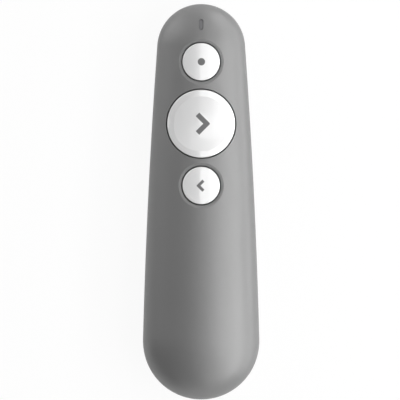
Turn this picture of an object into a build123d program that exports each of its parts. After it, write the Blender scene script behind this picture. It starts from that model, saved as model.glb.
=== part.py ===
from build123d import *
from functools import cache
import math
import os

# Handheld wireless presentation clicker, lying on its back: three press buttons on top, a laser in the nose,
# one AAA cell behind a cover that slides off towards the tail, and a radio receiver docked in the tail.
# Millimetres. +Z up, +Y towards the laser nose, origin under the middle of the body on the resting plane.

# ---------------------------------------------------------------- driving dimensions

# Plan outline, one side, as tangent arcs from the nose tip towards the tail: radius and turn in degrees.
NOSE_ARC = (15.52, 85.85)
SIDE_ARC = (2192.0, 2.715)
SHOULDER_ARC = (21.8, 15.9)

PART_Z = 14.0  # height of the parting plane between the two casing halves
TOP_RATIO = 0.54  # height of the crown over the half width, above the parting plane
BELLY_RATIO = 0.80  # depth of the belly over the half width, before the resting flat is cut
WALL = 2.0
FLOOR = 1.8

# Buttons: centre along Y, cap radius, height of the lower end of the guide collar.
BUTTONS = {
    "laser": (49.25, 6.58, 18.4),
    "next": (27.45, 11.95, 17.5),
    "back": (5.7, 6.58, 18.4),
}
RINGED_BUTTONS = ("laser", "back")  # these two sit in a shallow sloping surround
BUTTON_GAP = 0.45
CAP_THICKNESS, SKIRT_WALL = 1.6, 1.0
CAP_EDGE_ROUND = 0.25
PRESS_POST_R = 1.5  # the middle post that bears on the switch
SURROUND_WIDTH, SURROUND_DEPTH = 1.0, 0.24
THUMB_DISH_R, THUMB_DISH_DEPTH = 9.7, 0.75 # hollow in the next button
COLLAR_WALL = 0.95
FLANGE_OVERHANG, FLANGE_THICKNESS = 0.85, 1.0
KEY_HALF, KEY_DROP = 0.8, 0.8  # ribs that stop a button turning

# Main board, switches and the parts on the board's underside.
BOARD_Z = (14.2, 15.2)
BOARD_INSET = 3.5
BOARD_REAR_Y = -5.5
SWITCH_SIDE, SWITCH_HEIGHT = 6.0, 2.4
STEM_R, STEM_Z = 1.1, (17.0, 18.2)
STEM_HOLE_R, STEM_HOLE_Z = 1.2, 16.4

# Laser, its axis along Y above the belly.
LASER_Z = 9.8
BARREL_R, BORE_R, BARREL_Y = 3.0, 2.3, (48.6, 63.9)
APERTURE_R = 2.6
WINDOW_R, WINDOW_Y = 3.6, (64.2, 65.2)
BULKHEAD_Y = (62.6, 67.6)
DRIVER_Y, DRIVER_HALF_X, DRIVER_BOTTOM_Z = (45.2, 46.2), 5.5, 4.5
CLAMP_Y, CLAMP_HALF_X, CLAMP_EAR = (52.0, 57.0), 8.0, 2.0

# Battery compartment: one AAA cell lying along Y, put in from below.
CELL_R, CELL_LENGTH, CELL_Z = 5.25, 44.5, 7.55
JACKET = 0.12
CELL_NUB_R, CELL_NUB = 1.9, 0.9
TUB_IN, TUB_OUT = 5.5, 6.8  # half widths
TUB_Z, TUB_CEILING_Z = (2.5, 13.9), 13.0
TUB_Y = (-48.4, 2.4)
END_WALL = 1.2
CONTACT = 0.3
SPRING_WIRE_R, SPRING_R, SPRING_TURNS = 0.3, 3.0, 3

# Sliding rear cover.
COVER_FRONT_Y, COVER_TOP_Z = 4.0, 6.0
SEAM = 0.15
DECK_Z = (6.0, 6.9)
STEP_WALL = 1.2
RAIL_X, RAIL_Z, RAIL_Y = (TUB_OUT - 0.4, 7.8), (3.4, 4.2), (-44.0, 2.2)
RIB_X, RIB_LIP_X, RIB_LIP_Z = (8.1, 9.1), (7.0, 8.6), (4.45, 5.4)
TONGUE_X, TONGUE_Y, TONGUE_Z = (9.2, 12.0), (1.0, 7.0), (4.2, 5.4)
GRIP_Y, GRIP_GROOVES, GRIP_PITCH, GRIP_LENGTH = -53.0, 5, 1.8, 13.0

# Radio receiver docked in the tail: a flat cap and a flat plug around one centre line.
DOCK_Z = 10.05
CAP_SIZE, PLUG_SIZE = (14.4, 6.1), (12.0, 4.5)  # width, height
CAP_Y, CAP_END_INSET = -62.0, 0.4
PLUG_Y, PLUG_WALL = (-63.5, -50.0), 0.3
DOCK_GAP, DOCK_WALL = 0.1, 1.2

# Screws: (x, y) of one of each mirrored pair.
CASE_SCREWS = ((13.2, -44.0), (13.2, -10.0))
BOARD_SCREWS = ((10.6, 46.5), (12.2, 2.0))
CLAMP_SCREWS = ((5.6, 54.5),)
SHANK_R, PILOT_R, CLEAR_R = 0.98, 1.0, 1.2
THREAD_PITCH, THREAD_DEPTH = 0.8, 0.2

# Joint between the casing halves.
LIP_Z, LIP_INSETS, LIP_GAP = (12.9, 14.0), (1.05, 1.95), 0.1
GROOVE = 0.3
BOSS_R, BOSS_END_Z, PILOT_TOP_Z = 2.6, 10.55, 17.0
TOWER_R, TOWER_TOP_Z, SCREW_SEAT_Z, HEAD_POCKET_R = 3.2, 10.5, 8.5, 2.2
POST_R, POST_PILOT_Z = 2.3, 8.0
HOOK_PLACES, HOOK_HALF = (56.5, 18.0), 2.0
HOOK_Z, HOOK_BUMP_Z = (10.8, 16.0), (11.3, 12.3)

# Status light.
LIGHT_Y, LIGHT_SLOT = 62.4, (1.5, 3.8)
LIGHT_PIPE_Z, LIGHT_FLANGE_Z, LIGHT_SUNK = 16.1, (16.4, 17.3), 0.3

FAR = 80.0  # any distance well clear of the object


# ---------------------------------------------------------------- shapes that several pieces share


def block(x, y, z):
    """A box between three pairs of low and high coordinates."""
    pairs = (x, y, z)
    return Pos(*(sum(pair) / 2 for pair in pairs)) * Box(*(high - low for low, high in pairs))


def across(half_x, y, z):
    """A box centred on the middle plane."""
    return block((-half_x, half_x), y, z)


def post(place, radius, z):
    """An upright cylinder at (x, y) between two heights."""
    return Pos(place[0], place[1], sum(z) / 2) * Cylinder(radius, z[1] - z[0])


def rod(radius, y, x=0.0, z=LASER_Z):
    """A cylinder lying along Y between two places."""
    return Pos(x, sum(y) / 2, z) * Rot(90, 0, 0) * Cylinder(radius, y[1] - y[0])


def joined(shapes):
    """All the shapes as one."""
    shapes = list(shapes)
    return shapes[0].fuse(*shapes[1:]) if len(shapes) > 1 else shapes[0]


def both_sides(shape):
    """The shape and its mirror image across the middle plane."""
    return joined([shape, mirror(shape, about=Plane.YZ)])


def mirrored(places):
    return [(side * x, y) for x, y in places for side in (1, -1)]


def outline_arcs():
    """Centre, radius, first and last turn in radians of each arc of the right half outline, around its own tip."""
    arcs = []
    centre, radius, turn = Vector(0, -NOSE_ARC[0]), NOSE_ARC[0], 0.0
    for next_radius, degrees in (NOSE_ARC, SIDE_ARC, SHOULDER_ARC):
        centre += Vector(math.sin(turn), math.cos(turn)) * (radius - next_radius)
        radius = next_radius
        arcs.append((centre, radius, turn, turn + math.radians(degrees)))
        turn += math.radians(degrees)
    end = centre + Vector(math.sin(turn), math.cos(turn)) * radius
    tail_radius = end.X / math.sin(turn)
    arcs.append((Vector(0, end.Y - tail_radius * math.cos(turn)), tail_radius, turn, math.pi))
    return arcs


ARCS = outline_arcs()
NOSE_Y = (ARCS[-1][1] - ARCS[-1][0].Y) / 2
WIDEST = ARCS[2][0].X + ARCS[2][1]


def half_outline(inset):
    """Face of the right half of the plan outline, moved in all round by inset."""
    edges = []
    for centre, radius, start, stop in ARCS:
        points = [
            centre + Vector(math.sin(turn), math.cos(turn)) * (radius - inset) + Vector(0, NOSE_Y)
            for turn in (start, (start + stop) / 2, stop)
        ]
        edges.append(ThreePointArc(*points))
    edges.append(Line(edges[-1] @ 1, edges[0] @ 0))
    return make_face(edges)


def half_pebble(ratio, inset):
    """Half of the rounded body: the outline turned about Y and flattened, below the plane z = 0."""
    flattened = (WIDEST * ratio - inset) / (WIDEST - inset)
    turned = revolve(half_outline(inset), axis=Axis.Y, revolution_arc=180)
    return scale(turned, by=(1, 1, flattened))


@cache
def crown(inset=0.0):
    """Solid upper half of the body, from the parting plane up."""
    return Pos(0, 0, PART_Z) * mirror(half_pebble(TOP_RATIO, inset), about=Plane.XY)


@cache
def belly(inset=0.0, floor=0.0):
    """Solid lower half of the body, cut off flat at floor."""
    rounded = Pos(0, 0, PART_Z) * half_pebble(BELLY_RATIO, inset)
    return rounded & across(FAR, (-FAR, FAR), (floor, PART_Z))


def slab(inset, z):
    """The whole plan outline moved in by inset, as a plate between two heights."""
    half = extrude(half_outline(inset), z[1] - z[0])
    return Pos(0, 0, z[0]) * both_sides(half)


def wall_piece(body, insets, y, z):
    """The part of a rounded wall between two insets of a body, two places along it and two heights."""
    return (across(FAR, y, z) & body(insets[0])) - body(insets[1])


def screw(place, seat_z, length, head=(1.9, 1.2), up=1):
    """A cross-head screw whose head bears on seat_z, its point upwards (up=1) or downwards (up=-1)."""
    head_r, head_h = head
    root = SHANK_R - THREAD_DEPTH
    outline = [(0, -head_h), (head_r * 0.85, -head_h), (head_r, -head_h / 2), (head_r, 0), (root, 0)]
    for turn in range(1, int(length / THREAD_PITCH)):
        middle = turn * THREAD_PITCH
        outline += [(root, middle - THREAD_PITCH / 3), (SHANK_R, middle), (root, middle + THREAD_PITCH / 3)]
    outline += [(root, length - 0.4), (0, length)]
    body = revolve(Plane.XZ * make_face(Polyline(*outline, close=True)), axis=Axis.Z)
    for size in ((head_r * 1.1, 0.45), (0.45, head_r * 1.1)):
        body -= Pos(0, 0, -head_h) * Box(*size, 1.1)
    if up < 0:
        body = Rot(180, 0, 0) * body
    return Pos(*place, seat_z) * body


def light_slot(grow, z):
    """The status light's slot, grown all round, between two heights."""
    width, length = (size + 2 * grow for size in LIGHT_SLOT)
    return Pos(0, LIGHT_Y, z[0]) * extrude(Rot(0, 0, 90) * SlotOverall(length, width), z[1] - z[0])


# ---------------------------------------------------------------- upper casing


def dock_lip_gap():
    """The stretch at the tail where the receiver dock takes the place of the joint's lip."""
    return across(9.4, (-FAR, -56.0), (LIP_Z[0] - 1, LIP_Z[1]))


def collar(name):
    """Ring under the casing that guides a button, with two ribs that stop it turning."""
    y, cap_r, end_z = BUTTONS[name]
    hole_r = cap_r + BUTTON_GAP
    ring = post((0, y), hole_r + COLLAR_WALL, (end_z, FAR)) - post((0, y), hole_r, (end_z, FAR))
    key = block((hole_r, hole_r + COLLAR_WALL), (y - KEY_HALF, y + KEY_HALF), (end_z - KEY_DROP, FAR))
    return joined([ring, key, mirror(key, about=Plane.YZ)])


def snap_hooks():
    """Tabs that hang from the upper casing, each with a bump that snaps into the lower one."""
    hooks = []
    for middle in HOOK_PLACES:
        y = (middle - HOOK_HALF, middle + HOOK_HALF)
        hooks.append(wall_piece(belly, (WALL + 0.1, WALL + 1.0), y, (HOOK_Z[0], PART_Z)))
        hooks.append(wall_piece(crown, (WALL - 0.5, WALL + 1.0), y, (PART_Z, HOOK_Z[1])))
        hooks.append(wall_piece(belly, (WALL - 0.5, WALL + 0.3), y, HOOK_BUMP_Z))
    return hooks


def crown_height(x, y):
    """Height of the outer surface over a point."""
    for centre, radius, start, stop in ARCS:
        along = (y - NOSE_Y - centre.Y) / radius
        if math.cos(stop) <= along <= math.cos(start):
            half_width = centre.X + radius * math.sqrt(1 - along**2)
            return PART_Z + TOP_RATIO * math.sqrt(half_width**2 - x**2)
    raise ValueError(f"y = {y} is off the body")


def hole_rims(shape, name):
    """The edges where a button hole breaks the outer surface of the casing."""
    y, cap_r, end_z = BUTTONS[name]
    rims = []
    for edge in shape.edges():
        reaches = [math.hypot((edge @ at).X, (edge @ at).Y - y) for at in (0, 0.4, 0.8)]
        on_hole = all(abs(reach - cap_r - BUTTON_GAP) < 0.01 for reach in reaches)
        middle = edge @ 0.5
        if on_hole and edge.length > 2.5 and middle.Z > crown_height(middle.X, middle.Y) - 0.1:
            rims.append(edge)
    return rims


def make_top_shell():
    shell = crown() - crown(WALL)
    for name in RINGED_BUTTONS:
        y, cap_r, _ = BUTTONS[name]
        shell -= post((0, y), cap_r + BUTTON_GAP, (PART_Z + 2, FAR))
        shell = chamfer(hole_rims(shell, name), SURROUND_WIDTH, SURROUND_DEPTH)
    inner_parts = [collar(name) for name in BUTTONS]
    inner_parts += [post(place, BOSS_R, (PART_Z, FAR)) for place in mirrored(CASE_SCREWS)]
    inner_parts.append(light_slot(1.1, (LIGHT_FLANGE_Z[1], FAR)))
    shell += joined(inner_parts) & crown(WALL / 2)
    shell += [post(place, BOSS_R, (BOSS_END_Z, PART_Z)) for place in mirrored(CASE_SCREWS)]
    shell += slab(LIP_INSETS[0], LIP_Z) - slab(LIP_INSETS[1], LIP_Z) - dock_lip_gap()
    shell += snap_hooks()
    for y, cap_r, end_z in BUTTONS.values():
        shell -= post((0, y), cap_r + BUTTON_GAP, (end_z - 1, FAR))
    shell -= [post(place, PILOT_R, (BOSS_END_Z - 1, PILOT_TOP_Z)) for place in mirrored(CASE_SCREWS)]
    return shell - light_slot(0, (PART_Z + 2, FAR))


# ---------------------------------------------------------------- lower casing


def dock_hollow(size, y):
    """Room for a flat part of the receiver with the running gap all round."""
    half_x, half_z = (side / 2 + DOCK_GAP for side in size)
    return across(half_x, y, (DOCK_Z - half_z, DOCK_Z + half_z))


def driver_holder():
    """Grooved rib that grips one edge of the upright laser board."""
    rib = block((4.6, 6.6), (DRIVER_Y[0] - 1, DRIVER_Y[1] + 1), (0, 12.0))
    groove = block((0, DRIVER_HALF_X + 0.05), (DRIVER_Y[0] - 0.05, DRIVER_Y[1] + 0.05), (DRIVER_BOTTOM_Z, FAR))
    return rib - groove


def lower_inner_parts():
    """Everything that stands inside the lower casing, before it is trimmed to the wall."""
    step_y = (COVER_FRONT_Y, COVER_FRONT_Y + STEP_WALL)
    dock_half_x = CAP_SIZE[0] / 2 + DOCK_GAP + DOCK_WALL
    parts = [
        across(FAR, (-FAR, step_y[1]), DECK_Z),
        across(FAR, step_y, (0, DECK_Z[1])),
        across(TUB_OUT, TUB_Y, TUB_Z),
        both_sides(block(RAIL_X, RAIL_Y, RAIL_Z)),
        across(dock_half_x, (-FAR, TUB_Y[0] + END_WALL), (DECK_Z[0], TUB_Z[1])),
        across(5.2, BULKHEAD_Y, (0, 13.4)),
        across(CLAMP_HALF_X, CLAMP_Y, (0, LASER_Z)),
        both_sides(driver_holder()),
    ]
    parts += [post(place, TOWER_R, (DECK_Z[0], TOWER_TOP_Z)) for place in mirrored(CASE_SCREWS)]
    front_posts, rear_posts = mirrored(BOARD_SCREWS[:1]), mirrored(BOARD_SCREWS[1:])
    parts += [post(place, POST_R, (0, PART_Z)) for place in front_posts]
    parts += [post(place, POST_R, (DECK_Z[0], PART_Z)) for place in rear_posts]
    return joined(parts)


def lower_cuts():
    """Holes, seats and hollows of the lower casing."""
    cell_room = (TUB_Y[0] + END_WALL, TUB_Y[1] - END_WALL)
    tongue_slot = [(low - 0.15, high + 0.15) for low, high in (TONGUE_X, TONGUE_Y, TONGUE_Z)]
    lip_groove = slab(LIP_INSETS[0] - LIP_GAP, (LIP_Z[0] - LIP_GAP, PART_Z + 1))
    lip_groove -= slab(LIP_INSETS[1] + LIP_GAP, (0, FAR))
    cuts = [
        across(TUB_IN, cell_room, (0, TUB_CEILING_Z)),
        across(1.1, (cell_room[1] - 0.45, cell_room[1]), (TUB_CEILING_Z - 1, PART_Z)),
        across(1.1, (cell_room[0], cell_room[0] + 0.45), (TUB_CEILING_Z - 1, PART_Z)),
        both_sides(block(*tongue_slot)),
        dock_hollow(CAP_SIZE, (-FAR, CAP_Y + DOCK_GAP)),
        dock_hollow(PLUG_SIZE, (CAP_Y - 1, PLUG_Y[1] + 2 * DOCK_GAP)),
        rod(APERTURE_R, (WINDOW_Y[1] - 1, FAR)),
        rod(WINDOW_R + 0.02, (BULKHEAD_Y[0] - 1, WINDOW_Y[1])),
        rod(BARREL_R + 0.02, (CLAMP_Y[0] - 1, CLAMP_Y[1] + 1)),
        lip_groove - dock_lip_gap(),
        slab(-1, (PART_Z - GROOVE, PART_Z + 1)) - slab(GROOVE, (0, FAR)),
    ]
    for place in mirrored(CASE_SCREWS):
        cuts.append(post(place, HEAD_POCKET_R, (0, SCREW_SEAT_Z)))
        cuts.append(post(place, CLEAR_R, (0, PART_Z)))
    cuts += [post(place, PILOT_R, (POST_PILOT_Z, FAR)) for place in mirrored(BOARD_SCREWS)]
    cuts += [post(place, PILOT_R, (LASER_Z - 5, LASER_Z + 1)) for place in mirrored(CLAMP_SCREWS)]
    for middle in HOOK_PLACES:
        y = (middle - HOOK_HALF - 0.2, middle + HOOK_HALF + 0.2)
        z = (HOOK_BUMP_Z[0] - 0.1, HOOK_BUMP_Z[1] + 0.1)
        cuts.append(wall_piece(belly, (WALL - 0.6, WALL + 0.1), y, z))
    return cuts


def make_bottom_shell():
    shell = belly() - belly(WALL, FLOOR)
    shell -= across(FAR, (-FAR, COVER_FRONT_Y), (-1, COVER_TOP_Z))
    shell += lower_inner_parts() & belly(WALL / 2, FLOOR / 2)
    shell += [post(place, POST_R, (PART_Z, BOARD_Z[0])) for place in mirrored(BOARD_SCREWS)]
    for cut in lower_cuts():
        shell -= cut
    return shell


# ---------------------------------------------------------------- buttons and switches


def arc_radius(half_chord, rise):
    return (half_chord**2 + rise**2) / (2 * rise)


def thumb_dish():
    """What the hollow in the next button takes away: a saddle that meets the crown in a circle."""
    y = BUTTONS["next"][0]
    top_z = crown_height(0, y)
    side_drop = top_z - crown_height(THUMB_DISH_R, y)
    across_r = arc_radius(THUMB_DISH_R, side_drop - THUMB_DISH_DEPTH)
    along_r = arc_radius(THUMB_DISH_R, THUMB_DISH_DEPTH)
    reach = THUMB_DISH_R * 1.6
    end_rise = along_r - math.sqrt(along_r**2 - reach**2)
    hollow = ThreePointArc((0, -reach, end_rise), (0, 0, 0), (0, reach, end_rise))
    lid = Polyline(hollow @ 1, (0, reach, 10), (0, -reach, 10), hollow @ 0)
    face = Rot(0, -60, 0) * Pos(0, 0, across_r) * make_face([*hollow.edges(), *lid.edges()])
    saddle = revolve(face, axis=Axis.Y, revolution_arc=120)
    ahead, behind = (crown_height(0, y + side * THUMB_DISH_R) for side in (1, -1))
    slope = math.degrees(math.atan((ahead - behind) / (2 * THUMB_DISH_R)))
    return Pos(0, y, top_z - THUMB_DISH_DEPTH) * Rot(slope, 0, 0) * Pos(0, 0, -across_r) * saddle


def make_button_cap(name):
    """Crowned cap with a hollow skirt, a flange that stops it under the collar, and a post on the switch."""
    y, cap_r, end_z = BUTTONS[name]
    place, hole_r = (0, y), cap_r + BUTTON_GAP
    flange_z = (end_z - FLANGE_THICKNESS, end_z)
    cap = post(place, cap_r, (flange_z[0], FAR)) & crown()
    top_rim = max(cap.edges(), key=lambda edge: (edge.length > cap_r * 4, (edge @ 0.3).Z))
    cap = fillet([top_rim], CAP_EDGE_ROUND)
    cap -= post(place, cap_r - SKIRT_WALL, (flange_z[0] - 1, FAR)) & crown(CAP_THICKNESS)
    cap += post(place, hole_r + FLANGE_OVERHANG, flange_z) - post(place, cap_r - SKIRT_WALL, flange_z)
    cap += post(place, PRESS_POST_R, (STEM_Z[1], crown_height(0, y) - CAP_THICKNESS / 2))
    notch = block((hole_r - 0.1, FAR), (y - KEY_HALF - 0.1, y + KEY_HALF + 0.1), (flange_z[0] - 1, flange_z[1]))
    cap -= both_sides(notch)
    return cap - thumb_dish() if name == "next" else cap


def make_switch(name):
    """Tactile switch body; its stem is a piece of its own."""
    y = BUTTONS[name][0]
    half, top_z = SWITCH_SIDE / 2, BOARD_Z[1] + SWITCH_HEIGHT
    body = across(half, (y - half, y + half), (BOARD_Z[1], top_z - 0.3))
    body += post((0, y), STEM_R + 0.9, (BOARD_Z[1], top_z))
    leads = [
        block((side * half - 0.3, side * half + 0.3), (y + end - 0.4, y + end + 0.4), (BOARD_Z[1], BOARD_Z[1] + 0.3))
        for side in (1, -1)
        for end in (1.9, -1.9)
    ]
    return joined([body, *leads]) - post((0, y), STEM_HOLE_R, (STEM_HOLE_Z, FAR))


def make_switch_stem(name):
    return post((0, BUTTONS[name][0]), STEM_R, STEM_Z)


# ---------------------------------------------------------------- boards, light and laser


def make_main_board():
    board = slab(BOARD_INSET, BOARD_Z) & across(FAR, (BOARD_REAR_Y, FAR), BOARD_Z)
    return board - [post(place, CLEAR_R, (0, FAR)) for place in mirrored(BOARD_SCREWS)]


def make_light_pipe():
    pipe = light_slot(-0.05, (LIGHT_PIPE_Z, FAR)) & crown(LIGHT_SUNK)
    return pipe + light_slot(0.9, LIGHT_FLANGE_Z)


def make_laser_barrel():
    barrel = rod(BARREL_R, BARREL_Y) - rod(BORE_R, (BARREL_Y[0], BARREL_Y[1] - 1.0))
    return barrel - rod(BORE_R - 0.5, (BARREL_Y[1] - 2, BARREL_Y[1]))


def make_laser_lens():
    """Plano-convex lens behind the barrel's front lip, its round side towards the diode."""
    front_y = BARREL_Y[1] - 1.0
    lens_r, bulge_r = BORE_R - 0.02, 4.0
    lens = rod(lens_r, (front_y - 1.6, front_y))
    return lens & Pos(0, front_y - 1.6 + bulge_r, LASER_Z) * Sphere(bulge_r)


DIODE_LEADS = ((0.0, 1.27), (1.1, -0.635), (-1.1, -0.635))  # x, and z from the axis


def make_laser_diode():
    flange_y = (BARREL_Y[0] - 1.2, BARREL_Y[0])
    can = rod(BORE_R - 0.1, (BARREL_Y[0], BARREL_Y[0] + 2.6))
    leads = [rod(0.22, (DRIVER_Y[0] - 0.4, flange_y[0]), x, LASER_Z + z) for x, z in DIODE_LEADS]
    return joined([rod(2.8, flange_y), can, *leads])


def make_laser_driver_board():
    """Small upright board between the diode and the main board, with three lead holes and a driver chip."""
    board = across(DRIVER_HALF_X, DRIVER_Y, (DRIVER_BOTTOM_Z, BOARD_Z[0]))
    chip = across(1.5, (DRIVER_Y[0] - 0.8, DRIVER_Y[0]), (5.4, 7.4))
    holes = [rod(0.4, (DRIVER_Y[0] - 1, DRIVER_Y[1] + 1), x, LASER_Z + z) for x, z in DIODE_LEADS]
    return board + chip - holes


def make_laser_clamp():
    """Saddle over the barrel with a screw ear on each side."""
    saddle = rod(BARREL_R + 0.9, CLAMP_Y) & across(FAR, CLAMP_Y, (LASER_Z, FAR))
    clamp = saddle + across(CLAMP_HALF_X, CLAMP_Y, (LASER_Z, LASER_Z + CLAMP_EAR))
    clamp -= rod(BARREL_R + 0.02, CLAMP_Y)
    return clamp - [post(place, CLEAR_R, (0, FAR)) for place in mirrored(CLAMP_SCREWS)]


def make_laser_window():
    return rod(WINDOW_R, WINDOW_Y)


def make_capacitors():
    return [block((x, x + 2.0), (37.0, 38.2), (BOARD_Z[0] - 0.9, BOARD_Z[0])) for x in (-6.5, -3.0, 1.0, 4.5)]


def under_board(x, y, height):
    return block(x, y, (BOARD_Z[0] - height, BOARD_Z[0]))


# ---------------------------------------------------------------- battery and its contacts

CONTACT_FACE_Y = TUB_Y[1] - END_WALL - CONTACT - 0.05  # where the cell's nub touches
CELL_REAR_Y = CONTACT_FACE_Y - CELL_LENGTH
REAR_PLATE_Y = TUB_Y[0] + END_WALL + 0.05
BOARD_LAP = 2.0  # how far the rear contact's strip runs under the main board


def make_battery_cell():
    shoulder_y = CONTACT_FACE_Y - CELL_NUB
    can = rod(CELL_R - JACKET - 0.03, (CELL_REAR_Y, shoulder_y), z=CELL_Z)
    return can + rod(CELL_NUB_R, (shoulder_y, CONTACT_FACE_Y), z=CELL_Z)


def make_battery_jacket():
    y = (CELL_REAR_Y + 0.3, CONTACT_FACE_Y - CELL_NUB - 0.3)
    return rod(CELL_R, y, z=CELL_Z) - rod(CELL_R - JACKET, y, z=CELL_Z)


def make_plus_contact():
    y = (CONTACT_FACE_Y, CONTACT_FACE_Y + CONTACT)
    return across(3.0, y, (4.0, TUB_CEILING_Z)) + across(1.0, y, (TUB_CEILING_Z, BOARD_Z[0]))


def make_minus_contact():
    """Plate behind the spring, with a strip over the compartment to the main board."""
    y = (REAR_PLATE_Y, REAR_PLATE_Y + CONTACT)
    strip_y = (REAR_PLATE_Y, BOARD_REAR_Y + BOARD_LAP)
    plate = across(4.0, y, (3.6, TUB_CEILING_Z)) + across(1.0, y, (TUB_CEILING_Z, BOARD_Z[0]))
    return plate + across(1.0, strip_y, (BOARD_Z[0] - CONTACT, BOARD_Z[0]))


def make_minus_spring():
    """Coil between the plate and the flat end of the cell."""
    start_y, stop_y = REAR_PLATE_Y + CONTACT + SPRING_WIRE_R, CELL_REAR_Y - SPRING_WIRE_R
    height = stop_y - start_y
    coil = Helix(height / SPRING_TURNS, height, SPRING_R)
    wire = sweep(Plane(coil @ 0, z_dir=coil % 0) * Circle(SPRING_WIRE_R), path=coil, is_frenet=True)
    return Pos(0, start_y, CELL_Z) * Rot(-90, 0, 0) * wire


# ---------------------------------------------------------------- rear cover


def make_battery_cover():
    """Tray that closes the cell compartment and wraps the tail; ribs with lips hold it on the rails."""
    front_y, top_z = COVER_FRONT_Y - SEAM, COVER_TOP_Z - SEAM
    zone = across(FAR, (-FAR, front_y), (0, top_z))
    cover = (zone & belly()) - belly(WALL, FLOOR)
    inside = belly(WALL / 2, FLOOR / 2)
    ribs = both_sides(joined([block(RIB_X, RAIL_Y, (0, RIB_LIP_Z[1])), block(RIB_LIP_X, RAIL_Y, RIB_LIP_Z)]))
    cover += ribs & inside
    roots = both_sides(block(TONGUE_X, (TONGUE_Y[0], front_y), TONGUE_Z))
    cover += roots & inside
    tongues = both_sides(block(TONGUE_X, (TONGUE_Y[0], TONGUE_Y[1]), TONGUE_Z))
    cover += tongues & belly(WALL + 0.3)
    for turn in range(GRIP_GROOVES):
        y = GRIP_Y + turn * GRIP_PITCH
        cover -= across(GRIP_LENGTH / 2, (y - 0.35, y + 0.35), (-1, 0.4))
    return cover


# ---------------------------------------------------------------- receiver


def make_receiver_cap():
    half_x, half_z = (side / 2 for side in CAP_SIZE)
    cap = across(half_x, (-FAR, CAP_Y), (DOCK_Z - half_z, DOCK_Z + half_z))
    cap = fillet(cap.edges().filter_by(Axis.Y), 0.8)
    cap &= belly(CAP_END_INSET)
    plug_x, plug_z = (side / 2 for side in PLUG_SIZE)
    cap -= across(plug_x, (PLUG_Y[0], FAR), (DOCK_Z - plug_z, DOCK_Z + plug_z))
    return cap - across(5.0, (-FAR, -67.8), (DOCK_Z + 1.4, DOCK_Z + 2.1))


def plug_hollow(y):
    plug_x, plug_z = (side / 2 - PLUG_WALL for side in PLUG_SIZE)
    return across(plug_x, y, (DOCK_Z - plug_z, DOCK_Z + plug_z))


def make_receiver_plug():
    """Metal sleeve with two square windows in each broad side."""
    plug_x, plug_z = (side / 2 for side in PLUG_SIZE)
    sleeve = across(plug_x, PLUG_Y, (DOCK_Z - plug_z, DOCK_Z + plug_z)) - plug_hollow(PLUG_Y)
    window_y = (-56.4, -54.2)
    return sleeve - both_sides(block((1.6, 3.8), window_y, (0, FAR)))


def make_receiver_tongue():
    plug_x, plug_z = (side / 2 - PLUG_WALL for side in PLUG_SIZE)
    return across(plug_x, (PLUG_Y[0], PLUG_Y[1] - 0.4), (DOCK_Z - plug_z, DOCK_Z))


def make_receiver_contacts():
    return [block((x - 0.5, x + 0.5), (-60.0, -51.2), (DOCK_Z, DOCK_Z + 0.1)) for x in (-3.5, -1.1, 1.1, 3.5)]


# ---------------------------------------------------------------- all the pieces

BOARD_HEAD = (1.9, 1.2)
CLAMP_HEAD = (1.6, 1.2)

PIECES = {
    "top_shell": make_top_shell,
    "bottom_shell": make_bottom_shell,
    "case_screws": lambda: [screw(place, SCREW_SEAT_Z, 7.5) for place in mirrored(CASE_SCREWS)],
    "main_board": make_main_board,
    "board_screws": lambda: [screw(place, BOARD_Z[1], 6.5, BOARD_HEAD, -1) for place in mirrored(BOARD_SCREWS)],
    "radio_chip": lambda: under_board((-2.5, 2.5), (18.0, 23.0), 0.9),
    "crystal": lambda: under_board((5.0, 8.2), (19.0, 21.5), 0.8),
    "boost_inductor": lambda: under_board((-8.5, -4.5), (28.0, 32.0), 2.0),
    "capacitors": make_capacitors,
    "status_led": lambda: across(0.8, (LIGHT_Y - 1.0, LIGHT_Y + 1.0), (BOARD_Z[1], BOARD_Z[1] + 0.7)),
    "light_pipe": make_light_pipe,
    "laser_window": make_laser_window,
    "laser_barrel": make_laser_barrel,
    "laser_lens": make_laser_lens,
    "laser_diode": make_laser_diode,
    "laser_driver_board": make_laser_driver_board,
    "laser_clamp": make_laser_clamp,
    "clamp_screws": lambda: [
        screw(place, LASER_Z + CLAMP_EAR, 6.0, CLAMP_HEAD, -1) for place in mirrored(CLAMP_SCREWS)
    ],
    "battery_cell": make_battery_cell,
    "battery_jacket": make_battery_jacket,
    "plus_contact": make_plus_contact,
    "minus_contact": make_minus_contact,
    "minus_spring": make_minus_spring,
    "battery_cover": make_battery_cover,
    "receiver_cap": make_receiver_cap,
    "receiver_plug": make_receiver_plug,
    "receiver_tongue": make_receiver_tongue,
    "receiver_contacts": make_receiver_contacts,
}
for button in BUTTONS:
    PIECES[f"{button}_button_cap"] = lambda name=button: make_button_cap(name)
    PIECES[f"{button}_switch"] = lambda name=button: make_switch(name)
    PIECES[f"{button}_switch_stem"] = lambda name=button: make_switch_stem(name)


def main():
    os.makedirs("parts", exist_ok=True)
    for name, make in PIECES.items():
        piece = make()
        if isinstance(piece, list):
            piece = Compound(piece)
        export_step(piece, f"parts/{name}.step")


if __name__ == "__main__":
    main()
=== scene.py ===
import math

import bpy
from bpy.props import FloatProperty, FloatVectorProperty, PointerProperty
from bpy.types import Operator, Panel, PropertyGroup
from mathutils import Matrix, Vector


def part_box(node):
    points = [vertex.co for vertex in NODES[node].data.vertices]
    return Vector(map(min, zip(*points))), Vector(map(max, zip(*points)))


bl_info = {
    "name": "Presentation Clicker",
    "version": (1, 0, 0),
    "blender": (4, 5, 0),
    "location": "3D View > Sidebar > Clicker",
    "description": "Finishes, printed marks and studio of a handheld wireless presentation clicker",
    "category": "Object",
}

MM = 0.001

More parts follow.
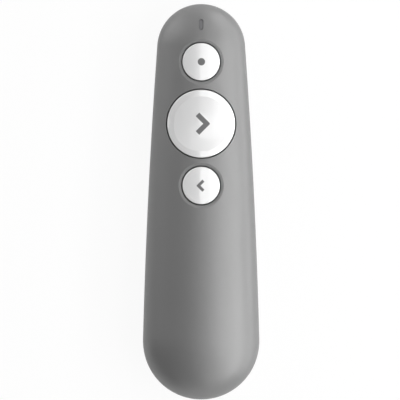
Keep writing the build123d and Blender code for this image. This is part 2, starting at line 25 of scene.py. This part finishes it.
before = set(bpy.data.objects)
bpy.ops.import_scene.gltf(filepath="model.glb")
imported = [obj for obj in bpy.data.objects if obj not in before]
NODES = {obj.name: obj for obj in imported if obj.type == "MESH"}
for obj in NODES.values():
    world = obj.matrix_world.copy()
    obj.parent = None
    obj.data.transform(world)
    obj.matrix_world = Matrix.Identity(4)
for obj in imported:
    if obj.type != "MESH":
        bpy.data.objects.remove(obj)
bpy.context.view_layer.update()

# Middle of the dot and tips of the arrows, where they are printed on their caps
DOT_CENTRE = (0.09 * MM, 49.25 * MM)
NEXT_TIP = (1.98 * MM, 27.46 * MM)
BACK_TIP = (-0.975 * MM, 5.65 * MM)

# Depth of the moulded texture, and reach of the painted shade that darkens narrow gaps
GRAIN_DEPTH = 0.022 * MM
GAP_SHADE_REACH = 0.8 * MM

# The floor lies a hair below the clicker's flat underside, so that the two faces never coincide
FLOOR_RADIUS = 6.0
FLOOR_DROP = 0.05 * MM

# Middle of the picture, and the camera's sensor in millimetres
PICTURE_CENTRE = (-0.4056 * MM, 0.617 * MM)
SENSOR_WIDTH = 36.0

# Panels overhead. Each has the angles, in degrees from straight up, that it spans from left to right and
# from tail to nose, its height, the setting that its strength comes from, and its share of that.
OVERHEAD_PANELS = (
    ("key_panel", (20, 32), (-22, 8), 0.56, "key", 1.0),
    ("wing_panel", (44, 56), (-62, 8), 0.58, "wing", 1.0),
    ("wing_nose_panel", (44, 56), (8, 62), 0.58, "wing", 0.52),
    ("tail_panel", (8, 56), (-62, -40), 0.62, "wing", 0.11),
    ("veil_panel", (9, 56), (-62, 62), 0.60, "veil", 1.0),
    ("strip_panel", (-1, 9), (-62, 62), 0.60, "veil", 0.46),
    ("thumb_panel", (-8, 8), (8, 22), 0.60, "veil", 0.37),
    ("nose_panel", (-56, -20), (20, 62), 0.60, "veil", 0.86),
    ("ridge_panel", (-1, 5), (1.5, 15), 0.64, "ridge", 1.0),
    ("ridge_side_panel", (5, 12), (1.5, 15), 0.65, "ridge", 0.63),
    ("ridge_core_panel", (-1, 4), (1.5, 9), 0.66, "ridge", 0.53),
)

# Panels that stand on a ring round the clicker. Each has its direction, in degrees from the right by way of
# the nose, its width, the heights of its lower and upper edges, and its strength as above.
UPRIGHT_PANELS = (
    ("side_panel", 0, 2.4, (0.04, 0.40), "side", 1.0),
    ("right_corner_panel", 62, 0.5, (0.01, 0.80), "corner", 1.0),
    ("front_panel", 90, 1.2, (0.0, 0.50), "front", 1.0),
    ("left_corner_panel", 145, 1.3, (0.01, 0.50), "front", 2.25),
    ("left_high_panel", 150, 1.3, (0.50, 1.20), "front", 1.09),
    ("left_panel", 180, 2.4, (0.01, 0.80), "bounce", 0.15),
    ("back_panel", 270, 1.2, (0.0, 0.50), "bounce", 1.0),
)
RING_RADIUS = 1.3


def middle(node):
    """Centre of a node's box at rest."""
    low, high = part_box(node)
    return (low + high) / 2


# -------------------------------------------------------- what a user may change


def length_setting(name, description, default):
    return FloatProperty(
        name=name, description=description, default=default, min=0.0, unit="LENGTH", precision=5
    )


def colour_setting(name, description, default):
    return FloatVectorProperty(
        name=name, description=description, default=default, subtype="COLOR", size=3, min=0.0, max=1.0
    )


def strength_setting(name, description, default):
    return FloatProperty(name=name, description=description, default=default, min=0.0, max=20.0)


class ClickerSizes(PropertyGroup):
    """Sizes of the printed marks and of the moulded textures."""

    dot_radius: length_setting("Dot radius", "Radius of the dot on the laser button", 1.3 * MM)
    next_arm: length_setting("Next arm", "Rise of each arm of the next mark from its tip", 3.28 * MM)
    next_stroke: length_setting("Next stroke", "Stroke width of the next mark", 1.8 * MM)
    back_arm: length_setting("Back arm", "Rise of each arm of the back mark from its tip", 1.78 * MM)
    back_stroke: length_setting("Back stroke", "Stroke width of the back mark", 1.05 * MM)
    casing_grain: length_setting("Casing grain", "Size of the casing's moulded texture", 0.22 * MM)
    button_grain: length_setting("Button grain", "Size of the buttons' fine texture", 0.12 * MM)
    edge_round: length_setting("Edge round", "Radius that the moulded edges are broken to", 0.12 * MM)
    track_pitch: length_setting("Track pitch", "Distance between copper tracks on the boards", 0.5 * MM)


class ClickerColours(PropertyGroup):
    """Colours of the main finishes."""

    casing: colour_setting("Casing", "Moulded casing halves and battery cover", (0.150, 0.150, 0.150))
    button: colour_setting("Button", "Button caps", (0.82, 0.82, 0.82))
    mark: colour_setting("Mark", "Printed dot and arrows", (0.145, 0.145, 0.145))
    light_guide: colour_setting("Light guide", "Smoked guide of the status light", (0.15, 0.15, 0.155))
    window: colour_setting("Laser window", "Tinted window in the nose", (0.20, 0.008, 0.010))
    brass: colour_setting("Brass", "Laser barrel", (0.70, 0.47, 0.20))
    solder_mask: colour_setting("Solder mask", "Green lacquer of the boards", (0.008, 0.085, 0.035))
    steel: colour_setting("Steel", "Screws, cans and sleeves", (0.56, 0.55, 0.53))
    jacket: colour_setting("Cell jacket", "Film round the cell", (0.012, 0.012, 0.014))
    jacket_band: colour_setting("Cell band", "Band at the plus end of the cell", (0.62, 0.26, 0.10))
    receiver: colour_setting("Receiver", "Plastic of the receiver", (0.022, 0.022, 0.024))


class ClickerStudio(PropertyGroup):
    """Floor, lamps and camera."""

    floor: colour_setting("Floor", "Floor that the clicker lies on", (0.90, 0.90, 0.90))
    key_strength: strength_setting("Key strength", "Brightness of the core overhead on the right", 4.05)
    wing_strength: strength_setting("Wing strength", "Brightness of the panels round the key", 5.76)
    veil_strength: strength_setting("Veil strength", "Brightness of the wide dim panels overhead", 1.05)
    ridge_strength: strength_setting("Ridge strength", "Brightness of the narrow panels right overhead", 0.96)
    side_strength: strength_setting("Side strength", "Brightness of the low panel on the right", 3.5)
    corner_strength: strength_setting("Corner strength", "Brightness of the panel right of the nose", 2.67)
    front_strength: strength_setting("Front strength", "Brightness of the panels beyond the nose", 0.845)
    bounce_strength: strength_setting("Bounce strength", "Brightness of the panels at tail and left", 0.79)
    camera_distance: length_setting("Camera distance", "Height of the camera over the main board", 3.0)
    picture_width: length_setting("Picture width", "Width in view at the main board's height", 141.09 * MM)


# -------------------------------------------------------- shader maths


class Value:
    """An output socket that can be used in Python sums; each sum adds its Math node."""

    def __init__(self, finish, socket):
        self.finish = finish
        self.socket = socket

    def sum(self, operation, *terms):
        return self.finish.node("ShaderNodeMath", {"operation": operation}, dict(enumerate(terms)))

    def __add__(self, other):
        return self.sum("ADD", self, other)

    def __sub__(self, other):
        return self.sum("SUBTRACT", self, other)

    def __rsub__(self, other):
        return self.sum("SUBTRACT", other, self)

    def __mul__(self, other):
        return self.sum("MULTIPLY", self, other)

    def __truediv__(self, other):
        return self.sum("DIVIDE", self, other)

    def __mod__(self, other):
        return self.sum("FLOORED_MODULO", self, other)

    def __abs__(self):
        return self.sum("ABSOLUTE", self)

    __radd__ = __add__
    __rmul__ = __mul__

    def root(self):
        return self.sum("SQRT", self)

    def floor(self):
        return self.sum("FLOOR", self)

    def sine(self):
        return self.sum("SINE", self)

    def highest(self, other):
        return self.sum("MAXIMUM", self, other)

    def rise(self, start, stop):
        """Goes smoothly from 0 at start to 1 at stop; the other way round when start is the higher."""
        low, high = min(start, stop), max(start, stop)
        inputs = {"Value": self, "From Min": low, "From Max": high}
        ramp = self.finish.node("ShaderNodeMapRange", {"interpolation_type": "SMOOTHSTEP"}, inputs)
        return ramp if start < stop else 1 - ramp

    def below(self, limit, soft=0.03 * MM):
        """1 where the value is under the limit, with a soft edge."""
        return self.rise(limit + soft, limit - soft)


class Finish:
    """A material in the making: its main shader, and the nodes that feed it."""

    def __init__(self, name, **constants):
        self.material = bpy.data.materials.new(name)
        self.material.use_nodes = True
        self.tree = self.material.node_tree
        self.shader = self.tree.nodes["Principled BSDF"]
        self.feed(**constants)

    def feed(self, **sockets):
        """Sets or links the main shader's sockets; base_color means Base Color."""
        for name, value in sockets.items():
            title = name.replace("_", " ").title().replace("Ior", "IOR")
            self.plug(self.shader.inputs[title], value)

    def plug(self, socket, value):
        """Links a Value to a socket, or sets the socket to a number, a colour or a vector."""
        if isinstance(value, Value):
            self.tree.links.new(value.socket, socket)
        elif socket.type == "RGBA":
            socket.default_value = (*value, 1.0)
        else:
            socket.default_value = value

    def node(self, kind, settings=None, inputs=None, output=0):
        """Adds a node: its settings first, then the values or links of its sockets."""
        node = self.tree.nodes.new(kind)
        for name, setting in (settings or {}).items():
            setattr(node, name, setting)
        for name, value in (inputs or {}).items():
            self.plug(node.inputs[name], value)
        return Value(self, node.outputs[output])

    def place(self):
        return self.node("ShaderNodeTexCoord", output="Object")

    def axes(self, centre=(0, 0, 0)):
        """The three coordinates of a point, from a centre."""
        inputs = {0: self.place(), 1: centre}
        moved = self.node("ShaderNodeVectorMath", {"operation": "SUBTRACT"}, inputs)
        split = self.node("ShaderNodeSeparateXYZ", None, {0: moved}).socket.node
        return [Value(self, socket) for socket in split.outputs]

    def facing_up(self):
        """How far the surface faces up, from -1 to 1."""
        normal = self.node("ShaderNodeTexCoord", output="Normal")
        return self.node("ShaderNodeSeparateXYZ", None, {0: normal}, "Z")

    def noise(self, size, detail=2.0, roughness=0.5, stretch=None):
        """Cloudy noise from 0 to 1 with features of about a size; stretch pulls them out along an axis."""
        where = self.place()
        if stretch:
            inputs = {0: where, 1: stretch}
            where = self.node("ShaderNodeVectorMath", {"operation": "DIVIDE"}, inputs)
        inputs = {"Vector": where, "Scale": 1 / size, "Detail": detail, "Roughness": roughness}
        return self.node("ShaderNodeTexNoise", None, inputs)

    def cells(self, size):
        """Distance to the nearest of many scattered points, in units of the size of their cells."""
        inputs = {"Vector": self.place(), "Scale": 1 / size}
        return self.node("ShaderNodeTexVoronoi", {"feature": "F1"}, inputs, "Distance")

    def mix(self, factor, first, second):
        """First colour where the factor is 0, second where it is 1."""
        # The Mix node numbers its colour sockets 6 and 7, and its colour output 2
        inputs = {0: factor, 6: first, 7: second}
        return self.node("ShaderNodeMix", {"data_type": "RGBA"}, inputs, 2)

    def shaded(self, colour, amount):
        """A plain colour made lighter and darker by a noise value."""
        dark, light = ([channel * step for channel in colour] for step in (1 - amount, 1 + amount))
        return self.mix(self.noise(14 * MM, 3.0), dark, light)

    def edges(self, radius):
        """Normal with its edges broken to a radius."""
        return self.node("ShaderNodeBevel", {"samples": 4}, {"Radius": radius})

    def worn(self, radius):
        """1 on the very edges, 0 on open faces."""
        true = self.node("ShaderNodeNewGeometry", output="Normal")
        inputs = {0: self.edges(radius), 1: true}
        alike = self.node("ShaderNodeVectorMath", {"operation": "DOT_PRODUCT"}, inputs, "Value")
        return alike.rise(0.97, 0.75)

    def gap_shade(self, reach):
        """1 deep in gaps about as wide as a reach, found by ambient occlusion, where shade is painted into
        the colour, and 0 on open faces.
        """
        openness = self.node("ShaderNodeAmbientOcclusion", {"samples": 8}, {"Distance": reach}, "AO")
        return openness.rise(0.80, 0.35)

    def relief(self, height, depth, normal=None):
        """Normal of a surface that a height value from 0 to 1 raises by a depth."""
        inputs = {"Height": height, "Distance": depth}
        if normal:
            inputs["Normal"] = normal
        return self.node("ShaderNodeBump", None, inputs)


def dress(finish, *nodes):
    """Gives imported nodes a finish."""
    for node in nodes:
        for slot in NODES[node].material_slots:
            slot.material = finish.material


def settings(context):
    """The user's sizes and colours."""
    return context.scene.clicker_sizes, context.scene.clicker_colours


def moulded_plastic(name, colour, grain, edge_round, **constants):
    """Satin plastic: spark-eroded texture, faint clouding, broken edges that are a little polished, and
    painted shade in narrow gaps.
    """
    finish = Finish(name, **constants)
    roughness = finish.shader.inputs["Roughness"].default_value
    worn = finish.worn(2 * edge_round)
    # The second colour is a dark copy of the plastic, used as painted shade deep in narrow gaps
    polished, painted_gap_shade = [min(channel * 1.35, 1) for channel in colour], [channel * 0.15 for channel in colour]
    tone = finish.mix(worn * 0.35, finish.shaded(colour, 0.025), polished)
    # Painted shade: the colour darkens deep in narrow gaps, where ambient occlusion finds the surface
    # enclosed
    tone = finish.mix(finish.gap_shade(GAP_SHADE_REACH) * 0.7, tone, painted_gap_shade)
    texture = finish.noise(grain, 3.0, 0.6) * (1 - worn)
    finish.feed(
        base_color=tone,
        roughness=roughness + (finish.noise(9 * MM) - 0.5) * 0.06 - worn * 0.08,
        normal=finish.relief(texture, GRAIN_DEPTH, finish.edges(edge_round)),
    )
    return finish


# -------------------------------------------------------- operators


class CLICKER_OT_casing(Operator):
    """Finish both casing halves and the battery cover"""

    bl_idname = "clicker.casing"
    bl_label = "Casing"
    bl_options = {"REGISTER", "UNDO"}

    def execute(self, context):
        sizes, colours = settings(context)
        shells = moulded_plastic(
            "casing_satin", colours.casing, sizes.casing_grain, sizes.edge_round,
            roughness=0.42, specular_ior_level=1.0, ior=1.62,
        )
        dress(shells, "top_shell", "bottom_shell", "battery_cover")
        return {"FINISHED"}


class CLICKER_OT_buttons(Operator):
    """Finish the three button caps and print their marks"""

    bl_idname = "clicker.buttons"
    bl_label = "Buttons"
    bl_options = {"REGISTER", "UNDO"}

    def execute(self, context):
        sizes, colours = settings(context)
        marks = {
            "laser_button_cap": lambda cap: self.dot(cap, sizes.dot_radius, DOT_CENTRE),
            "next_button_cap": lambda cap: self.arrow(cap, sizes.next_arm, sizes.next_stroke, NEXT_TIP, 1),
            "back_button_cap": lambda cap: self.arrow(cap, sizes.back_arm, sizes.back_stroke, BACK_TIP, -1),
        }
        for node, mark in marks.items():
            cap = Finish(
                f"{node}_satin", metallic=0.15, specular_ior_level=0.6, coat_roughness=0.02, coat_ior=1.9
            )
            ink = mark(cap) * cap.facing_up().rise(0.5, 0.7)
            grain = cap.noise(sizes.button_grain)
            # Painted shade: the white darkens toward the mark colour deep in the gap round each cap, and is
            # rougher with less coat there
            painted_gap_shade = cap.gap_shade(GAP_SHADE_REACH)
            white = cap.mix(painted_gap_shade * 0.85, cap.shaded(colours.button, 0.01), colours.mark)
            cap.feed(
                base_color=cap.mix(ink, white, colours.mark),
                roughness=0.30 + ink * 0.2 + painted_gap_shade * 0.5 + (cap.noise(5 * MM) - 0.5) * 0.05,
                coat_weight=(1 - ink) * (1 - painted_gap_shade),
                normal=cap.relief(grain * (1 - ink), 0.0004 * MM, cap.edges(sizes.edge_round)),
            )
            dress(cap, node)
        return {"FINISHED"}

    def dot(self, cap, radius, centre):
        """Mask of a round spot."""
        x, y, _ = cap.axes((*centre, 0))
        return (x * x + y * y).root().below(radius)

    def arrow(self, cap, rise, stroke, tip, side):
        """Mask of an arrow head with square ends, its tip to the right (side 1) or the left (side -1)."""
        x, y, _ = cap.axes((*tip, 0))
        x, y = x * side, abs(y)
        slant = 1 / math.sqrt(2)
        stroke_mask = abs((x + y) * slant).below(stroke / 2)
        end_mask = ((y - x) * slant).below(rise / slant)
        blunt_tip = x.below(stroke * 0.58)
        return stroke_mask * end_mask * blunt_tip


class CLICKER_OT_light(Operator):
    """Finish the status light and its guide"""

    bl_idname = "clicker.light"
    bl_label = "Status light"
    bl_options = {"REGISTER", "UNDO"}

    def execute(self, context):
        sizes, colours = settings(context)
        guide = Finish("smoked_guide", roughness=0.35, coat_weight=0.5, coat_roughness=0.15)
        guide.feed(
            base_color=guide.shaded(colours.light_guide, 0.08),
            normal=guide.relief(guide.noise(0.3 * MM), 0.003 * MM, guide.edges(sizes.edge_round)),
        )
        dress(guide, "light_pipe")
        lamp = Finish("lamp_resin", roughness=0.2, coat_weight=0.5)
        _, _, z = lamp.axes(middle("status_led"))
        ceramic, resin = (0.75, 0.72, 0.66), (0.86, 0.80, 0.35)
        lamp.feed(base_color=lamp.mix(z.rise(-0.1 * MM, 0.1 * MM), ceramic, resin))
        dress(lamp, "status_led")
        return {"FINISHED"}


class CLICKER_OT_laser(Operator):
    """Finish the laser: window, barrel, lens, diode and clamp"""

    bl_idname = "clicker.laser"
    bl_label = "Laser"
    bl_options = {"REGISTER", "UNDO"}

    def execute(self, context):
        sizes, colours = settings(context)
        window = Finish("tinted_window", base_color=colours.window, ior=1.49, transmission_weight=0.7)
        window.feed(roughness=0.04 + window.noise(3 * MM) * 0.05)
        dress(window, "laser_window")
        lens = Finish("moulded_lens", base_color=(0.96, 0.97, 0.98), ior=1.53, transmission_weight=1.0)
        lens.feed(roughness=0.01 + lens.noise(2 * MM) * 0.02)
        dress(lens, "laser_lens")
        dress(self.turned("turned_brass", colours.brass, "laser_barrel", 0.28), "laser_barrel")
        dress(self.turned("diode_can", colours.steel, "laser_diode", 0.22), "laser_diode")
        black = (0.05, 0.05, 0.052)
        bracket = moulded_plastic("bracket_nylon", black, 0.3 * MM, sizes.edge_round, roughness=0.5)
        dress(bracket, "laser_clamp")
        return {"FINISHED"}

    def turned(self, name, colour, node, roughness):
        """Metal turned on a lathe, with fine tool marks round the axis."""
        metal = Finish(name, metallic=1.0)
        _, y, _ = metal.axes(middle(node))
        mark_pitch = 0.12 * MM
        marks = (y * (2 * math.pi / mark_pitch) + metal.noise(1.5 * MM) * 4).sine() * 0.5 + 0.5
        metal.feed(
            base_color=metal.shaded(colour, 0.06),
            roughness=roughness + metal.noise(2 * MM, 4.0) * 0.12,
            normal=metal.relief(marks, 0.002 * MM, metal.edges(0.08 * MM)),
        )
        return metal


class CLICKER_OT_electronics(Operator):
    """Finish the boards, the parts on them and the switches"""

    bl_idname = "clicker.electronics"
    bl_label = "Electronics"
    bl_options = {"REGISTER", "UNDO"}

    def execute(self, context):
        sizes, colours = settings(context)
        dress(self.board(sizes, colours), "main_board", "laser_driver_board")
        chip = Finish("chip_resin")
        chip.feed(
            base_color=chip.shaded((0.018, 0.018, 0.019), 0.15),
            roughness=0.55 + chip.noise(0.4 * MM) * 0.15,
            normal=chip.relief(chip.noise(0.08 * MM, 4.0), 0.004 * MM, chip.edges(0.08 * MM)),
        )
        dress(chip, "radio_chip", "boost_inductor")
        can = Finish("crystal_can", metallic=1.0)
        can.feed(
            base_color=can.shaded(colours.steel, 0.05),
            roughness=0.25 + can.noise(0.2 * MM, stretch=(8, 1, 1)) * 0.2,
            normal=can.edges(0.2 * MM),
        )
        dress(can, "crystal")
        dress(self.capacitor(), "capacitors")
        for button in ("laser", "next", "back"):
            dress(self.switch(f"{button}_switch", colours), f"{button}_switch")
            stem = moulded_plastic("stem_acetal", (0.03, 0.03, 0.03), 0.1 * MM, 0.08 * MM, roughness=0.35)
            dress(stem, f"{button}_switch_stem")
        return {"FINISHED"}

    def board(self, sizes, colours):
        """Green lacquer over tracks that run along or across in patches, with tinned vias and bare edges."""
        board = Finish("circuit_board", coat_weight=0.6, coat_roughness=0.15)
        x, y, _ = board.axes()
        patch_width, patch_length = 3.5 * MM, 5.5 * MM
        drift = board.noise(6 * MM) * 3.0
        column, row = (x / patch_width + drift).floor(), (y / patch_length + drift).floor()
        patch = board.node("ShaderNodeCombineXYZ", None, {0: column, 1: row})
        chance = board.node("ShaderNodeTexWhiteNoise", {"noise_dimensions": "2D"}, {"Vector": patch})
        pitch = sizes.track_pitch
        lines = [abs(axis % pitch - pitch / 2).below(pitch / 4, 0.02 * MM) for axis in (x, y)]
        striped, along = chance.rise(0.30, 0.31), chance.rise(0.70, 0.71)
        tracks = (lines[0] * along + lines[1] * (1 - along)) * striped
        via = board.cells(5.0 * MM)
        tin, hole = via.below(0.11, 0.01), via.below(0.05, 0.01)
        over_copper = [channel * 1.45 for channel in colours.solder_mask]
        lacquer = board.mix(tracks, colours.solder_mask, over_copper)
        face = board.mix(hole, board.mix(tin, lacquer, (0.62, 0.60, 0.56)), (0.01, 0.01, 0.01))
        bare, glass_fibre = abs(board.facing_up()).rise(0.7, 0.4), (0.34, 0.30, 0.16)
        board.feed(
            base_color=board.mix(bare, face, glass_fibre),
            metallic=tin * (1 - hole) * (1 - bare),
            roughness=0.30 + board.noise(1 * MM) * 0.15 + bare * 0.35,
            normal=board.relief(tracks + tin, 0.02 * MM),
        )
        return board

    def capacitor(self):
        """Tan ceramic with tinned ends."""
        ceramic = Finish("ceramic_and_tin")
        x, _, _ = ceramic.axes()
        half_length, tin_length = 1.0 * MM, 0.4 * MM
        ends = None
        for centre in (-5.5 * MM, -2.0 * MM, 2.0 * MM, 5.5 * MM):
            near = abs(abs(x - centre) - half_length).below(tin_length, 0.02 * MM)
            ends = near if ends is None else ends.highest(near)
        tan, tin = (0.38, 0.26, 0.15), (0.72, 0.71, 0.68)
        ceramic.feed(
            base_color=ceramic.mix(ends, ceramic.shaded(tan, 0.08), tin),
            metallic=ends,
            roughness=0.55 - ends * 0.2 + ceramic.noise(0.2 * MM) * 0.1,
            normal=ceramic.edges(0.08 * MM),
        )
        return ceramic

    def switch(self, node, colours):
        """Black moulded body, steel cover on top, tinned leads at the board."""
        low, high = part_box(node)
        half_height = (high.z - low.z) / 2
        lead_height, half_body, cover_thickness, stem_hole = 0.32 * MM, 2.95 * MM, 0.34 * MM, 2.0 * MM
        body = Finish(f"{node}_body")
        x, y, z = body.axes(middle(node))
        leads = z.below(lead_height - half_height, 0.02 * MM) * abs(x).rise(half_body, half_body + 0.07 * MM)
        cover_bottom = half_height - cover_thickness
        cover = z.rise(cover_bottom, cover_bottom + 0.04 * MM)
        metal = leads.highest(cover * (x * x + y * y).root().rise(stem_hole, stem_hole + 0.05 * MM))
        body.feed(
            base_color=body.mix(metal, body.shaded((0.02, 0.02, 0.021), 0.1), colours.steel),
            metallic=metal,
            roughness=0.5 - metal * 0.2 + body.noise(0.5 * MM) * 0.1,
            normal=body.relief(body.noise(0.15 * MM), 0.003 * MM, body.edges(0.12 * MM)),
        )
        return body


class CLICKER_OT_fasteners(Operator):
    """Finish the screws"""

    bl_idname = "clicker.fasteners"
    bl_label = "Fasteners"
    bl_options = {"REGISTER", "UNDO"}

    def execute(self, context):
        colours = context.scene.clicker_colours
        steel = Finish("zinc_plated_steel", metallic=1.0)
        dull, bright = [channel * 0.85 for channel in colours.steel], (0.64, 0.62, 0.56)
        steel.feed(
            base_color=steel.mix(steel.noise(1.2 * MM), dull, bright),
            roughness=0.28 + steel.noise(0.6 * MM, 4.0) * 0.2,
            normal=steel.relief(steel.noise(0.1 * MM, 3.0), 0.002 * MM, steel.edges(0.1 * MM)),
        )
        dress(steel, "case_screws", "board_screws", "clamp_screws")
        return {"FINISHED"}


class CLICKER_OT_battery(Operator):
    """Finish the cell, its film jacket, the contacts and the coil"""

    bl_idname = "clicker.battery"
    bl_label = "Battery"
    bl_options = {"REGISTER", "UNDO"}

    def execute(self, context):
        colours = context.scene.clicker_colours
        can = Finish("cell_can", metallic=1.0)
        can.feed(
            base_color=can.shaded(colours.steel, 0.04),
            roughness=0.26 + can.noise(1.5 * MM, 4.0) * 0.15,
            normal=can.edges(0.25 * MM),
        )
        dress(can, "battery_cell")
        dress(self.jacket(colours), "battery_jacket")
        spring_steel = Finish("nickel_contact", metallic=1.0)
        spring_steel.feed(
            base_color=spring_steel.shaded((0.66, 0.62, 0.54), 0.05),
            roughness=0.22 + spring_steel.noise(0.25 * MM, 3.0, stretch=(1, 12, 1)) * 0.2,
            normal=spring_steel.edges(0.08 * MM),
        )
        dress(spring_steel, "plus_contact", "minus_contact", "minus_spring")
        return {"FINISHED"}

    def jacket(self, colours):
        """Shrunk film: dark body, coloured band at the plus end, bright line between, puckered ends."""
        low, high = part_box("battery_jacket")
        length = high.y - low.y
        band_length, line_place, line_width, pucker = 11.0 * MM, 11.6 * MM, 0.9 * MM, 1.6 * MM
        film = Finish("cell_film", coat_weight=1.0, coat_roughness=0.08)
        _, y, _ = film.axes((0, high.y, 0))
        band = y.rise(-band_length - 0.05 * MM, -band_length + 0.05 * MM)
        line = abs(y + line_place).below(line_width / 2)
        puckers = y.rise(-pucker, 0).highest(y.rise(pucker - length, -length))
        body = film.mix(band, film.shaded(colours.jacket, 0.1), colours.jacket_band)
        film.feed(
            base_color=film.mix(line, body, (0.72, 0.70, 0.66)),
            metallic=band * 0.6,
            roughness=0.28 + puckers * 0.1 + film.noise(4 * MM) * 0.06,
            normal=film.relief(film.noise(0.9 * MM, stretch=(1, 4, 1)) * puckers, 0.04 * MM),
        )
        return film


class CLICKER_OT_receiver(Operator):
    """Finish the docked radio receiver"""

    bl_idname = "clicker.receiver"
    bl_label = "Receiver"
    bl_options = {"REGISTER", "UNDO"}

    def execute(self, context):
        sizes, colours = settings(context)
        plastic = moulded_plastic(
            "receiver_plastic", colours.receiver, 0.2 * MM, sizes.edge_round, roughness=0.42, coat_weight=0.2
        )
        dress(plastic, "receiver_cap", "receiver_tongue")
        sleeve = Finish("brushed_sleeve", metallic=1.0)
        brushing = sleeve.noise(0.12 * MM, 4.0, stretch=(1, 30, 1))
        sleeve.feed(
            base_color=sleeve.shaded((0.63, 0.62, 0.60), 0.04),
            roughness=0.24 + brushing * 0.18,
            normal=sleeve.relief(brushing, 0.002 * MM, sleeve.edges(0.15 * MM)),
        )
        dress(sleeve, "receiver_plug")
        strips = Finish("gold_flash", metallic=1.0)
        strips.feed(
            base_color=strips.shaded((0.83, 0.58, 0.22), 0.05), roughness=0.2 + strips.noise(0.4 * MM) * 0.15
        )
        dress(strips, "receiver_contacts")
        return {"FINISHED"}


class CLICKER_OT_stage(Operator):
    """Set up the floor, the soft panels round the clicker and the camera"""

    bl_idname = "clicker.stage"
    bl_label = "Studio"
    bl_options = {"REGISTER", "UNDO"}

    def execute(self, context):
        studio = context.scene.clicker_studio
        self.floor(studio)
        self.lamps(studio)
        self.camera(studio)
        context.scene.view_settings.view_transform = "Standard"
        return {"FINISHED"}

    def floor(self, studio):
        """Pale floor that glows nearly white to the camera, mirrors and glass, and keeps the shadow."""
        bpy.ops.object.select_all(action="DESELECT")
        bpy.ops.mesh.primitive_circle_add(
            vertices=96, radius=FLOOR_RADIUS, fill_type="NGON", location=(0, 0, -FLOOR_DROP)
        )
        floor = bpy.context.object
        floor.name = "floor"
        paper = Finish("paper_floor", base_color=studio.floor, roughness=0.8)
        by_camera, by_mirrors, by_glass = (
            paper.node("ShaderNodeLightPath", output=kind)
            for kind in ("Is Camera Ray", "Is Glossy Ray", "Is Transmission Ray")
        )
        direct = by_camera.highest(by_mirrors).highest(by_glass)
        glow_share, white, white_in_mirrors = 0.93, (1, 1, 1), (0.85, 0.85, 0.85)
        tint = paper.mix(by_mirrors, white, white_in_mirrors)
        glow = paper.node("ShaderNodeEmission", None, {"Color": tint, "Strength": 1.0})
        both = paper.node("ShaderNodeMixShader", None, {0: direct * glow_share, 2: glow})
        paper.tree.links.new(paper.shader.outputs[0], both.socket.node.inputs[1])
        paper.tree.links.new(both.socket, paper.tree.nodes["Material Output"].inputs["Surface"])
        floor.data.materials.append(paper.material)

    def lamps(self, studio):
        """Soft panels in a dark room, the brightest overhead on the right."""
        for name, across, along, height, setting, share in OVERHEAD_PANELS:
            left, right = (height * math.tan(math.radians(angle)) for angle in across)
            near, far = (height * math.tan(math.radians(angle)) for angle in along)
            centre = Vector(((left + right) / 2, (near + far) / 2, height))
            strength = getattr(studio, f"{setting}_strength") * share
            self.panel(name, centre, centre - Vector((0, 0, 1)), (right - left, far - near), strength)
        for name, turn, width, (bottom, top), setting, share in UPRIGHT_PANELS:
            aim = Vector((0, 0, (bottom + top) / 2))
            outwards = Vector((math.cos(math.radians(turn)), math.sin(math.radians(turn)), 0))
            strength = getattr(studio, f"{setting}_strength") * share
            self.panel(name, aim + outwards * RING_RADIUS, aim, (width, top - bottom), strength)
        world = bpy.data.worlds.new("dark_room")
        world.use_nodes = True
        world.node_tree.nodes["Background"].inputs["Color"].default_value = (0, 0, 0, 1)
        bpy.context.scene.world = world

    def panel(self, name, place, aim, size, strength):
        """Soft panel at a place that faces an aim, as bright as its strength says at any size."""
        turn = (aim - place).to_track_quat("-Z", "Y").to_euler()
        bpy.ops.object.light_add(type="AREA", location=place, rotation=turn)
        panel = bpy.context.object
        panel.name = name
        panel.visible_camera = False
        panel.data.shape = "RECTANGLE"
        panel.data.size, panel.data.size_y = size
        panel.data.energy = strength * math.pi * size[0] * size[1]

    def camera(self, studio):
        """Straight above, the nose at the top of the picture."""
        place = (*PICTURE_CENTRE, middle("main_board").z + studio.camera_distance)
        bpy.ops.object.camera_add(location=place, rotation=(0, 0, 0))
        camera = bpy.context.object
        camera.data.sensor_width = SENSOR_WIDTH
        camera.data.lens = SENSOR_WIDTH * studio.camera_distance / studio.picture_width
        bpy.context.scene.camera = camera


class CLICKER_PT_panel(Panel):
    """Lists the clicker's settings and its operators"""

    bl_idname = "CLICKER_PT_panel"
    bl_label = "Presentation Clicker"
    bl_space_type = "VIEW_3D"
    bl_region_type = "UI"
    bl_category = "Clicker"

    def draw(self, context):
        for group in GROUPS:
            box = self.layout.box()
            chosen = getattr(context.scene, group)
            for name in chosen.__annotations__:
                box.prop(chosen, name)
        for operator in OPERATORS:
            self.layout.operator(operator.bl_idname)


OPERATORS = (
    CLICKER_OT_stage,
    CLICKER_OT_casing,
    CLICKER_OT_buttons,
    CLICKER_OT_light,
    CLICKER_OT_laser,
    CLICKER_OT_electronics,
    CLICKER_OT_fasteners,
    CLICKER_OT_battery,
    CLICKER_OT_receiver,
)
GROUPS = {"clicker_sizes": ClickerSizes, "clicker_colours": ClickerColours, "clicker_studio": ClickerStudio}


def register():
    for cls in (*GROUPS.values(), *OPERATORS, CLICKER_PT_panel):
        bpy.utils.register_class(cls)
    for name, group in GROUPS.items():
        setattr(bpy.types.Scene, name, PointerProperty(type=group))


def unregister():
    for name in GROUPS:
        delattr(bpy.types.Scene, name)
    for cls in (CLICKER_PT_panel, *reversed(OPERATORS), *GROUPS.values()):
        bpy.utils.unregister_class(cls)


def main():
    register()
    for operator in OPERATORS:
        family, name = operator.bl_idname.split(".")
        getattr(getattr(bpy.ops, family), name)()


if __name__ == "__main__":
    main()
